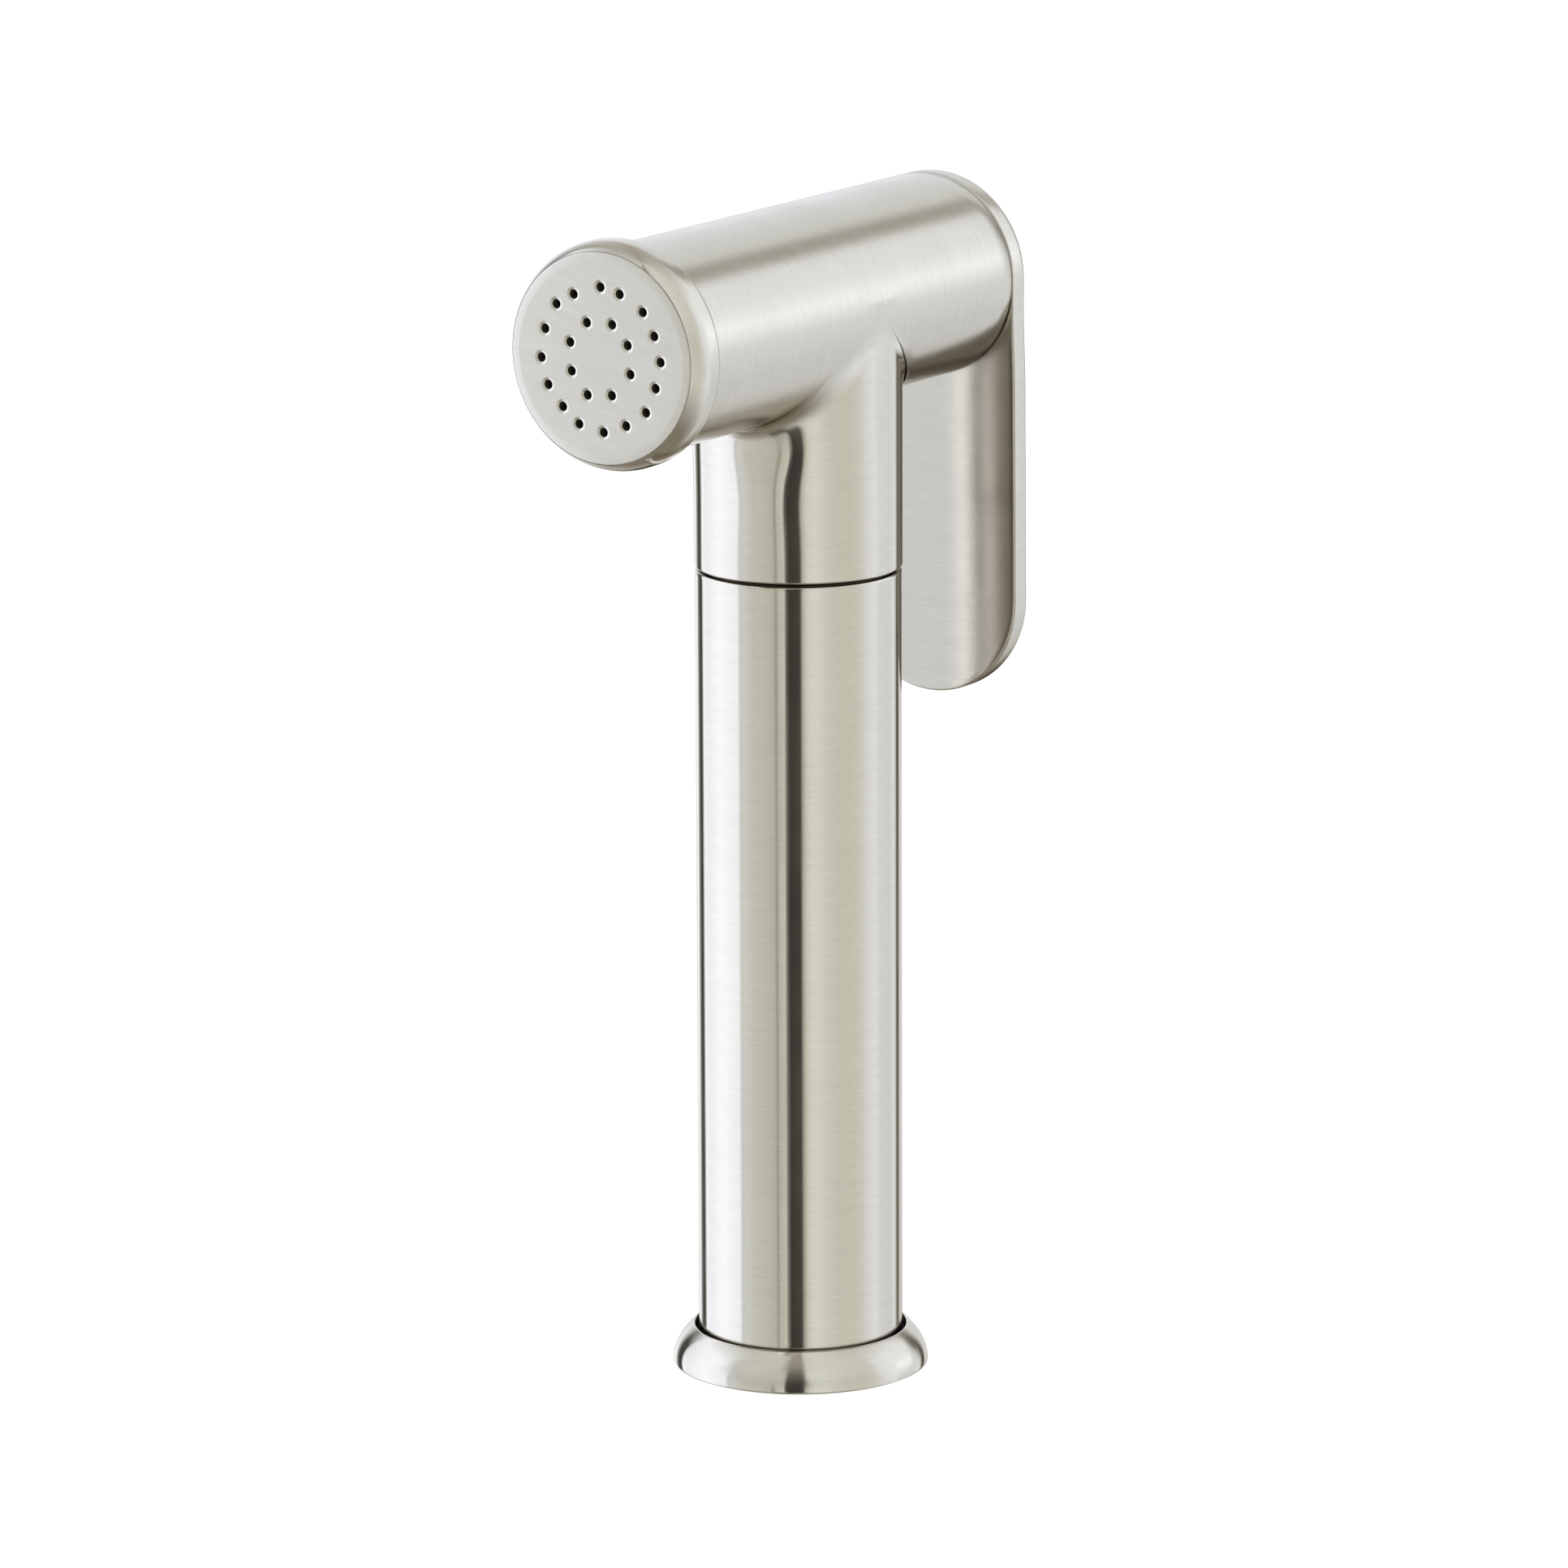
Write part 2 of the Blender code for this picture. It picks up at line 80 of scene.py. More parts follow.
def noise(nt, vector, scale, detail=2.0, rough=0.5):
    n = nt.nodes.new("ShaderNodeTexNoise")
    n.inputs["Scale"].default_value = scale
    n.inputs["Detail"].default_value = detail
    n.inputs["Roughness"].default_value = rough
    nt.links.new(vector, n.inputs["Vector"])
    return n.outputs["Fac"]


def spread(nt, value, lo, hi, out_lo, out_hi):
    r = nt.nodes.new("ShaderNodeMapRange")
    r.inputs["From Min"].default_value = lo
    r.inputs["From Max"].default_value = hi
    r.inputs["To Min"].default_value = out_lo
    r.inputs["To Max"].default_value = out_hi
    nt.links.new(value, r.inputs["Value"])
    return r.outputs["Result"]


def mixed(nt, fac, a, b):
    m = nt.nodes.new("ShaderNodeMix")
    m.data_type = "RGBA"
    m.inputs["A"].default_value = (*a, 1.0)
    m.inputs["B"].default_value = (*b, 1.0)
    nt.links.new(fac, m.inputs["Factor"])
    return m.outputs["Result"]


def bumped(nt, bsdf, height, strength, distance):
    b = nt.nodes.new("ShaderNodeBump")
    b.inputs["Strength"].default_value = strength
    b.inputs["Distance"].default_value = distance
    nt.links.new(height, b.inputs["Height"])
    nt.links.new(b.outputs[0], bsdf.inputs["Normal"])


def tangent(nt, bsdf):
    t = nt.nodes.new("ShaderNodeTangent")
    t.direction_type = "UV_MAP"
    t.uv_map = "brush"
    nt.links.new(t.outputs[0], bsdf.inputs["Tangent"])


def uv_coord(nt):
    n = nt.nodes.new("ShaderNodeUVMap")
    n.uv_map = "brush"
    return n.outputs[0]


def object_coord(nt):
    return nt.nodes.new("ShaderNodeTexCoord").outputs["Object"]


# ---------------------------------------------------------------- materials
def brushed_nickel(name, rough, aniso=1.0, streak=1.0, line=0.00018, length=0.004):
    """Satin nickel. The brush map's u runs across the hairlines and v along them, both in metres.

    streak is how strongly the hairlines show; line and length are a hairline's width and length in metres.
    """
    m, nt, bsdf = new_mat(name)
    uv = uv_coord(nt)
    fine = noise(nt, mapped(nt, uv, (1.0 / line, 1.0 / length, 1.0)), 1.0, 3.0, 0.6)
    coarse = noise(nt, mapped(nt, uv, (1.0 / (line * 7), 1.0 / (length * 3), 1.0), (3.1, 7.7, 0)), 1.0, 2.0, 0.5)
    cloud = noise(nt, mapped(nt, uv, (90.0, 40.0, 1.0), (1.7, 2.3, 0)), 1.0, 2.0, 0.5)
    mix = nt.nodes.new("ShaderNodeMath")
    mix.operation = "MULTIPLY_ADD"
    nt.links.new(coarse, mix.inputs[0])
    mix.inputs[1].default_value = 0.5
    nt.links.new(fine, mix.inputs[2])
    grain = spread(nt, mix.outputs[0], 0.45, 1.05, 0.0, 1.0)
    lo = tuple(c * (1 - 0.05 * streak) for c in METAL)
    hi = tuple(c * (1 + 0.035 * streak) for c in METAL)
    nt.links.new(mixed(nt, grain, lo, hi), bsdf.inputs["Base Color"])
    nt.links.new(spread(nt, cloud, 0.3, 0.7, rough - 0.02, rough + 0.02), bsdf.inputs["Roughness"])
    bsdf.inputs["Metallic"].default_value = 1.0
    bsdf.inputs["Anisotropic"].default_value = aniso
    tangent(nt, bsdf)
    bumped(nt, bsdf, grain, 0.25 * streak, 0.000004)
    return m


def plain_metal(name, rgb, rough=0.32):
    """Machined metal with fine turning marks and slight handling stains."""
    m, nt, bsdf = new_mat(name)
    obj = object_coord(nt)
    rings = noise(nt, mapped(nt, obj, (135.0, 135.0, 2700.0)), 1.0, 3.0, 0.6)
    stain = noise(nt, mapped(nt, obj, (60, 60, 60)), 1.0, 4.0, 0.6)
    dark = tuple(c * 0.82 for c in rgb)
    nt.links.new(mixed(nt, spread(nt, stain, 0.35, 0.7, 0, 1), rgb, dark), bsdf.inputs["Base Color"])
    nt.links.new(spread(nt, stain, 0.3, 0.7, rough - 0.05, rough + 0.08), bsdf.inputs["Roughness"])
    bsdf.inputs["Metallic"].default_value = 1.0
    bumped(nt, bsdf, rings, 0.3, 0.00001)
    return m


def moulded(name, rgb, rough):
    """Moulded rubber or nylon with a fine matt grain and a little dust."""
    m, nt, bsdf = new_mat(name)
    obj = object_coord(nt)
    grain = noise(nt, mapped(nt, obj, (2500, 2500, 2500)), 1.0, 2.0, 0.5)
    dust = noise(nt, mapped(nt, obj, (120, 120, 120)), 1.0, 4.0, 0.65)
    light = tuple(min(1.0, c * 1.15 + 0.012) for c in rgb)
    nt.links.new(mixed(nt, spread(nt, dust, 0.4, 0.75, 0, 1), rgb, light), bsdf.inputs["Base Color"])
    nt.links.new(spread(nt, dust, 0.3, 0.7, rough - 0.06, rough + 0.06), bsdf.inputs["Roughness"])
    bumped(nt, bsdf, grain, 0.4, 0.00001)
    return m


# ---------------------------------------------------------------- mesh helpers
def make(name, bm, mat, body, *stands_for, angle=40.0, cad_slot="nickel"):
    """A shaded piece from bm, riding on a body in place of the CAD nodes that it stands for."""
    bm.normal_update()
    me = bpy.data.meshes.new(name)
    bm.to_mesh(me)
    bm.free()
    ob = bpy.data.objects.new(name, me)
    bpy.context.scene.collection.objects.link(ob)
    me.materials.append(mat)
    me.shade_smooth()
    me.set_sharp_from_angle(angle=math.radians(angle))
    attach(ob, body)
    if stands_for:
        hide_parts(*stands_for)
    return ob


def grid_faces(bm, uvl, rows, uvs, flip=False):
    """Quads between rows of verts, with the matching rows of uv pairs."""
    for a, b, ua, ub in zip(rows, rows[1:], uvs, uvs[1:]):
        for k in range(len(a) - 1):
            quad = [(a[k], ua[k]), (b[k], ub[k]), (b[k + 1], ub[k + 1]), (a[k + 1], ua[k + 1])]
            if flip:
                quad.reverse()
            corners = dict(reversed(quad))  # a corner met twice, at a pole, keeps its first uv
            use = [v for v, _ in quad]
            use = [v for i, v in enumerate(use) if v not in use[:i]]
            if len(use) < 3:
                continue
            f = bm.faces.new(use)
            for loop in f.loops:
                loop[uvl].uv = corners[loop.vert]


def revolve(bm, uvl, profile, axis="Z", centre=0.0, steps=ROUND, closed=True):
    """Turns (radius, height) points in mm; the outer side runs from top to bottom. Height is in the world."""
    pts = list(profile) + ([profile[0]] if closed else [])
    run = [0.0]
    for p, q in zip(pts, pts[1:]):
        run.append(run[-1] + math.dist(p, q) * MM)

    def ring(r, h):
        spots = 1 if r < 1e-6 else steps  # a point on the axis is one shared vertex
        verts = []
        for k in range(spots):
            a = math.tau * k / steps
            c, s = r * math.cos(a), r * math.sin(a)
            p = (c, s, h) if axis == "Z" else (c, h, centre + s)
            verts.append(bm.verts.new(Vector(p) * MM))
        return verts * (steps + 1) if spots == 1 else verts + verts[:1]

    rings = [ring(r, h) for r, h in profile]
    if closed:
        rings.append(rings[0])
    big = max(r for r, _ in pts) * MM
    uvs = [[(u, math.tau * k / steps * big) for k in range(steps + 1)] for u in run]
    grid_faces(bm, uvl, rings, uvs, flip=(axis == "Y"))


def turned(name, profile, mat, body, *stands_for, axis="Z", centre=0.0, steps=ROUND, cad_slot="nickel"):
    bm = bmesh.new()
    uvl = bm.loops.layers.uv.new("brush")
    revolve(bm, uvl, profile, axis, centre, steps)
    return make(name, bm, mat, body, *stands_for, cad_slot=cad_slot)


def arc(cx, cy, r, a0, a1, n, r2=None):
    """Points of an arc about (cx, cy) from angle a0 to a1 in degrees, elliptical where r2 is given."""
    r2 = r if r2 is None else r2
    turns = [math.radians(a0 + (a1 - a0) * k / n) for k in range(n + 1)]
    return [(cx + r * math.cos(a), cy + r2 * math.sin(a)) for a in turns]


nickel_tube = brushed_nickel("nickel_handle", 0.135, streak=1.15)
nickel_head = brushed_nickel("nickel_head", 0.135, streak=1.2, line=0.00016, length=0.0025)
nickel_ring = brushed_nickel("nickel_bezel", 0.09, streak=0.5)
nickel_face = brushed_nickel("nickel_face", 0.28, aniso=0.8, streak=1.5, line=0.0002, length=0.006)
nickel_lever = brushed_nickel("nickel_lever", 0.19, aniso=0.8, streak=1.2, line=0.0002)
nickel_flange = brushed_nickel("nickel_flange", 0.11, streak=1.2)
nickel_rim = brushed_nickel("nickel_hole_rims", 0.12, aniso=0.0, streak=0.3)
brass = plain_metal("turned_brass", (0.72, 0.56, 0.28))
steel = plain_metal("stainless", (0.62, 0.62, 0.61), 0.3)
rubber = moulded("black_rubber", (0.025, 0.025, 0.026), 0.65)
nylon_black = moulded("black_nylon", (0.03, 0.03, 0.032), 0.45)
nylon_white = moulded("natural_nylon", (0.72, 0.70, 0.64), 0.42)
bronze = plain_metal("seam_bronze", (0.09, 0.065, 0.045), 0.4)
# near-black bore material: painted shade within the holes, put on their walls and on the disc's back
bore_shade = moulded("painted_shade_bore", (0.05, 0.045, 0.035), 0.6)


# ---------------------------------------------------------------- holder
def deck_flange():
    """A low elliptical dome with a rolled lip round the handle and a sharp bottom edge."""
    prof = [(FLANGE_BORE, 5.8)] + arc(FLANGE_BORE + 0.24, 5.86, 0.24, 180, 58, 5)
    prof += [(FLANGE_R * math.cos(math.radians(t)), 0.3 + 10.55 * math.sin(math.radians(t)))
             for t in (32.8, 31, 28, 25, 22, 19, 16, 13, 10, 7, 4, 2, 0)]
    prof += [(FLANGE_R, 0.14), (FLANGE_R - 0.1, 0.0), (15.4, 0.0), (15.4, 1.2), (FLANGE_BORE, 1.2)]
    turned("deck_flange_fine", prof, nickel_flange, "holder", "deck_flange")


def holder_bush():
    prof = [(BUSH_BORE, 3.4), (BUSH_BORE + 0.2, 3.6), (BUSH_TOP_R - 0.2, 3.6), (BUSH_TOP_R, 3.4), (BUSH_TOP_R, 2.8),
            (BUSH_R, 2.8), (BUSH_R, -23.7), (BUSH_R - 0.3, -24.0), (BUSH_BORE, -24.0)]
    turned("holder_bush_fine", prof, nylon_black, "bush", "holder_bush", steps=96, cad_slot="black_nylon")


deck_flange()
holder_bush()


# ---------------------------------------------------------------- handle
def handle_tube():
    """A plain tube with a fine rounded edge at the seam and another at the bottom."""
    top = SEAM_LOW_Z
    prof = [(15.2, top), (15.62, top)] + arc(15.66, top - 0.34, 0.34, 84, 6, 5)
    prof += [(TUBE_R, z) for z in (126.6, 110, 95, 80, 65, 50, 35, 20, 8, 4.3)]
    prof += arc(TUBE_R - 0.3, 4.2, 0.3, -10, -80, 3) + [(14.0, 3.9), (14.0, 126.2), (15.2, 126.2)]
    turned("handle_tube_fine", prof, nickel_tube, "wand", "handle_tube")


def seam_washer():
    """The dark ring at the bottom of the groove, with a rounded rim."""
    prof = [(14.05, 127.5)] + arc(14.55, 127.15, 0.35, 80, -80, 6) + [(14.05, 126.5)]
    turned("seam_washer_fine", prof, bronze, "wand", "seam_washer", cad_slot="bronze_seam")


def inlet_fitting():
    """The tail that closes the handle and slides in the bush, ending in the hose nipple."""
    low = NIPPLE_R - THREAD_DEPTH
    prof = [(10.6, 20.5), (13.7, 20.5), (13.7, 12.2), (12.3, 12.2), (12.3, 9.8), (13.7, 9.8), (13.7, 6.4),
            (TAIL_R, 6.4), (TAIL_R, -25.4), (TAIL_R - 0.6, -26.0), (low, -26.0), (low, -27.0)]
    for k in range(4):  # the thread as rings at its pitch
        z = -27.9 - THREAD_PITCH * k
        prof += [(NIPPLE_R, z), (low, z - THREAD_PITCH / 2)]
    prof += [(NIPPLE_R, NIPPLE_END_Z + 1.0), (NIPPLE_R, NIPPLE_END_Z + 0.6), (NIPPLE_R - 0.6, NIPPLE_END_Z),
             (6.2, NIPPLE_END_Z), (6.2, -33.6), (4.5, -33.6), (4.5, -8.3), (6.9, -8.3), (6.9, 14.0), (8.4, 14.0),
             (8.4, 18.0), (10.6, 18.0)]
    turned("inlet_fitting_fine", prof, brass, "wand", "inlet_fitting", steps=96, cad_slot="brass")


handle_tube()
seam_washer()
inlet_fitting()


# ---------------------------------------------------------------- head and neck in one body
def smooth(e0, e1, x):
    t = min(1.0, max(0.0, (x - e0) / (e1 - e0)))
    return t * t * (3 - 2 * t)


def blended(x, y, z):
    """Signed distance, in mm, to the head tube and the neck joined by a fillet that dies away at the sides."""
    d1 = math.hypot(x, z) - HEAD_R
    # the neck is a cast and hand-polished piece: slightly hollow near the joint, and narrower right at the top
    turn = math.atan2(x, -y) - math.radians(11.5)
    hollow = 0.33 * math.exp(-((turn - 0.08) / 0.2) ** 2 / 2 - ((z + 19.6) / 2.6) ** 2 / 2)
    hollow -= 0.10 * math.exp(-((turn - 0.08) / 0.22) ** 2 / 2 - ((z + 28.5) / 3.2) ** 2 / 2)
    front = max(0.0, -y / 16.0)
    flare = 0.42 * front * (max(0.0, min(1.0, (z + 32.0) / 16.0))) ** 2
    neck = NECK_R - hollow + flare - 0.25 * smooth(-9, -0.5, z)
    d2 = math.hypot(x, y) - neck
    along = min(1.0, (x / 16.1) ** 2)  # 1 at the sides, where the two surfaces run into one another
    k = (2.5 + 12.0 * along * along) * (1 - along) + 0.004
    h = max(k - abs(d1 - d2), 0.0) / k
    return min(d1, d2) - h * h * k / 4


def root(fn, lo, hi):
    for _ in range(42):
        mid = (lo + hi) / 2
        if fn(mid) > 0:
            hi = mid
        else:
            lo = mid
    return (lo + hi) / 2


def head():
    """The head tube and the neck, laid out as columns that start at the crease where the two meet."""
    bm = bmesh.new()
    uvl = bm.loops.layers.uv.new("brush")
    front, back = -46.9, 36.7  # ends of the head's outer surface along Y
    reach = (14, 22)  # every outer point lies between these distances from its axis
    along_head, along_neck = 27, 30  # points down each column

    def vert(x, y, z):
        return bm.verts.new(Vector((x, y, HEAD_Z + z)) * MM)

    def turn(k):
        a = math.tau * k / ROUND
        return math.cos(a), math.sin(a)

    def half(side):
        """The head's front (-1) or rear (1) half, and the ring and bore that close its end."""
        columns = []
        for k in range(ROUND + 1):
            c, s = turn(k)
            drop = abs(s) if s < -1e-9 else 0.0
            crease = root(lambda q: blended(q * c, -q * drop, q * s), *reach) if s <= 1e-9 else HEAD_R
            start, end = side * crease * drop, front if side < 0 else back - 0.3
            column = [(crease * c, start, crease * s)]
            for j in range(1, along_head):
                t = j / (along_head - 1)
                y = start + (end - start) * (0.25 * t + 0.75 * t ** 2.2)
                q = HEAD_R if s > 0.2 else root(lambda w: blended(w * c, y, w * s), *reach)
                column.append((q * c, y, q * s))
            columns.append(column)

        rows, uvs = [], []

        def row(points, us):
            verts = [vert(*p) for p in points]
            rows.append(verts + verts[:1])
            uvs.append([(u * MM, math.tau * k / ROUND * HEAD_R * MM) for k, u in enumerate(us)])

        for j in range(along_head):
            row([col[j] for col in columns[:-1]], [col[j][1] for col in columns])
        if side < 0:
            inner = [(14.4, front), (14.4, -49.6), (13.2, -49.6), (13.2, -8.0), (10.0, -8.0)]
        else:
            inner = [(15.91, back - 0.09), (15.7, back), (13.6, back), (13.4, back - 0.2), (13.4, 17.7), (5.6, 17.7)]
        u = columns[0][-1][1]
        prev = (HEAD_R, u)
        for r, y in inner:
            u += side * math.dist(prev, (r, y))
            prev = (r, y)
            row([(r * turn(k)[0], y, r * turn(k)[1]) for k in range(ROUND)], [u] * (ROUND + 1))
        grid_faces(bm, uvl, rows, uvs, flip=(side > 0))

    half(-1)
    half(1)

    neck_end, edge = 128.4, 0.34  # where the neck's straight part ends, and the radius of its rounded edge
    low = [(NECK_R, 128.1)] + arc(NECK_R - edge, 128.08, edge, -6, -84, 4)
    low += [(15.0, SEAM_TOP_Z), (13.7, SEAM_TOP_Z), (13.7, 118.0)]
    rows = [[] for _ in range(along_neck + len(low))]
    uvs = [[] for _ in rows]
    for k in range(ROUND + 1):
        a = math.tau * k / ROUND  # the angle round the neck, from +X towards -Y
        cx, sy = math.cos(a), -math.sin(a)
        crease = root(lambda q: blended(q * cx, q * sy, -abs(q * sy)), *reach)
        start, end = -abs(crease * sy), neck_end - HEAD_Z
        for j in range(along_neck):
            t = j / (along_neck - 1)
            z = start + (end - start) * (0.2 * t + 0.8 * t ** 2.0)
            q = crease if j == 0 else root(lambda w: blended(w * cx, w * sy, z), *reach)
            rows[j].append((q * cx, q * sy, z))
            uvs[j].append((z * MM, a * HEAD_R * MM))
        u = end
        prev = (NECK_R, neck_end)
        for i, (r, z) in enumerate(low):
            u -= math.dist(prev, (r, z))
            prev = (r, z)
            rows[along_neck + i].append((r * cx, r * sy, z - HEAD_Z))
            uvs[along_neck + i].append((u * MM, a * HEAD_R * MM))
    loops = []
    for points in rows:
        verts = [vert(*p) for p in points[:-1]]
        loops.append(verts + verts[:1])
    grid_faces(bm, uvl, loops, uvs, flip=True)
    bmesh.ops.remove_doubles(bm, verts=bm.verts, dist=0.000002)
    bmesh.ops.recalc_face_normals(bm, faces=bm.faces)
    return make("head_body_fine", bm, nickel_head, "wand", "head_body", angle=38)


head()


# ---------------------------------------------------------------- spray front
def spray_bezel():
    """A ring with a small rolled rear edge, whose outside curves in to the disc's edge."""
    prof = [(14.8, -47.2), (17.1, -47.2)] + arc(17.1, -47.9, 0.4, 88, 2, 10, 0.7)
    x, y = 17.5, -49.4
    prof.append((x, y))
    steps, step_in, step_on = 28, 0.127, 0.148
    for k in range(steps):  # the slope falls from near 90 to 47 degrees on the way
        t = math.radians(88.5 - 41.5 * ((k + 0.5) / steps) ** 0.9)
        x, y = x - step_in * math.cos(t), y - step_on * math.sin(t)
        prof.append((x, y))
    prof += [(16.1, y), (16.1, -51.0), (14.8, -51.0)]
    turned("spray_bezel_fine", prof, nickel_ring, "wand", "spray_bezel", axis="Y", centre=HEAD_Z)


HOLE_R, SINK_R, HOLE_STEPS = 0.74, 1.12, 24
RING_OUT, RING_IN = (10.7, 2.5), (5.8, 24.0)  # each ring's radius, and the angle of its first hole
# the holes are drilled a little unevenly: degrees along the ring, mm outwards
WANDER_OUT = ((0, 0), (-1, -0.2), (-2, 0.1), (1, -0.1), (-2.5, 0.1), (2.5, -0.2), (-1, 0.3), (0, 0), (1.5, 0.1),
              (1.5, 0), (1, -0.2), (-1.5, 0.3), (-0.5, 0.4), (-0.5, 0), (0, 0.2), (0, -0.3))
WANDER_IN = ((3, -0.4), (0, -0.1), (1.5, 0), (1, 0.1), (-0.5, 0), (-2.5, 0.4), (-4.5, -0.1), (1.5, -0.2))


def hole_spots():
    """(x, z) of every hole, in mm."""
    spots = []
    for (radius, phase), wander in ((RING_OUT, WANDER_OUT), (RING_IN, WANDER_IN)):
        for k, (turn, off) in enumerate(wander):
            a = math.radians(phase + 360.0 * k / len(wander) + turn)
            spots.append(((radius + off) * math.cos(a), HEAD_Z + (radius + off) * math.sin(a)))
    return spots


def scene_object(name, bm):
    me = bpy.data.meshes.new(name)
    bm.to_mesh(me)
    bm.free()
    ob = bpy.data.objects.new(name, me)
    bpy.context.scene.collection.objects.link(ob)
    return ob


def hole_cutter(spots):
    """One countersunk drill for each hole."""
    bm = bmesh.new()
    prof = [(0, -50.0), (HOLE_R, -50.0), (HOLE_R, FACE_Y + 0.14), (SINK_R, FACE_Y), (1.2, FACE_Y - 0.03),
            (1.2, -54.5), (0, -54.5)]
    for x, z in spots:
        rings = []
        for r, y in prof:
            ring = []
            for k in range(HOLE_STEPS if r else 1):
                a = math.tau * k / HOLE_STEPS
                ring.append(bm.verts.new(Vector((x + r * math.cos(a), y, z + r * math.sin(a))) * MM))
            rings.append(ring + ring[:1] if r else ring * (HOLE_STEPS + 1))
        for a, b in zip(rings, rings[1:]):
            for k in range(HOLE_STEPS):
                corners = (a[k], b[k], b[k + 1], a[k + 1])
                corners = [v for i, v in enumerate(corners) if v not in corners[:i]]
                if len(corners) > 2:
                    bm.faces.new(corners)
    bmesh.ops.recalc_face_normals(bm, faces=bm.faces)
    return scene_object("hole_cutter", bm)


def spray_face():
    """The drilled disc: a turned blank with a shallow bevel, cut by 24 countersunk holes."""
    blank = bmesh.new()
    uvl = blank.loops.layers.uv.new("brush")
    prof = [(0, -51.3), (FACE_R, -51.3), (FACE_R, -53.06), (16.03, -53.15), (15.97, -53.2), (15.88, -53.23),
            (15.75, -53.245), (14.95, -53.287), (14.8, -53.296), (14.6, FACE_Y), (0, FACE_Y)]
    revolve(blank, uvl, prof, "Y", HEAD_Z, ROUND, closed=False)
    bmesh.ops.recalc_face_normals(blank, faces=blank.faces)
    ob = scene_object("spray_face_fine", blank)

    spots = hole_spots()
    cutter = hole_cutter(spots)
    mod = ob.modifiers.new("holes", "BOOLEAN")
    mod.object = cutter
    mod.solver = "EXACT"
    bpy.context.view_layer.update()
    drilled = bpy.data.meshes.new_from_object(ob.evaluated_get(bpy.context.evaluated_depsgraph_get()))
    ob.modifiers.clear()
    ob.data = drilled
    bpy.data.objects.remove(cutter, do_unlink=True)

    drilled.materials.clear()
    for mat in (nickel_face, bore_shade, nickel_rim):
        drilled.materials.append(mat)
    uv = drilled.uv_layers["brush"]
    tilt = math.radians(-17)  # direction of the straight brushing
    cu, su = math.cos(tilt), math.sin(tilt)
    for poly in drilled.polygons:
        c = poly.center
        away = min(math.hypot(c.x - x * MM, c.z - z * MM) for x, z in spots)
        wall = abs(poly.normal.y) < 0.3 and away < 0.9 * MM
        sink = away < 1.2 * MM and 0.5 < abs(poly.normal.y) < 0.97
        # hole walls and the disc's back get the near-black bore material, which is painted shade within the holes
        poly.material_index = 1 if wall or c.y > -51.5 * MM else 2 if sink else 0
        for li in poly.loop_indices:
            v = drilled.vertices[drilled.loops[li].vertex_index].co
            uv.data[li].uv = (-v.x * su + v.z * cu, v.x * cu + v.z * su)
    drilled.shade_smooth()
    drilled.set_sharp_from_angle(angle=math.radians(16))
    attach(ob, "wand")
    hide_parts("spray_face")


spray_bezel()
spray_face()


# ---------------------------------------------------------------- squeeze lever
LEVER_END_Z = 100.8
STEP_TOP_Z, STEP_LOW_Z, STEP = 164.0, 150.0, 0.55  # where the inner face bends back below the head, and how far
LEVER_LEAN = 0.011  # how far it goes on leaning back, for each millimetre down
SIDE_T = 2.7  # height of the straight side wall
CROWN_W, CROWN_H = 11.0, 4.0  # the back's rounding


def stand_off(z):
    """How far the lever's inner face lies behind REAR_Y at height z."""
    return STEP * smooth(STEP_TOP_Z, STEP_LOW_Z, z) + LEVER_LEAN * max(0.0, STEP_LOW_Z - z)


def stadium(inset, y, arcs=48):
    """The lever's outline, drawn in by inset and moved back by y, with points down its sides where it bends."""
    r = HEAD_R - inset
    low = LEVER_END_Z + HEAD_R
    levels = (164.4, 163.2, 162, 160.5, 159, 157.5, 156, 154.5, 153, 151.5, 150.3, 149.5, 145, 140, 134, 128, 122)
    out = arc(0, HEAD_Z, r, 0, 180, arcs)
    out += [(-r, z) for z in levels]
    out += arc(0, low, r, 180, 360, arcs)
    out += [(r, z) for z in reversed(levels)]
    return [(x, REAR_Y + y + stand_off(z), z) for x, z in out]


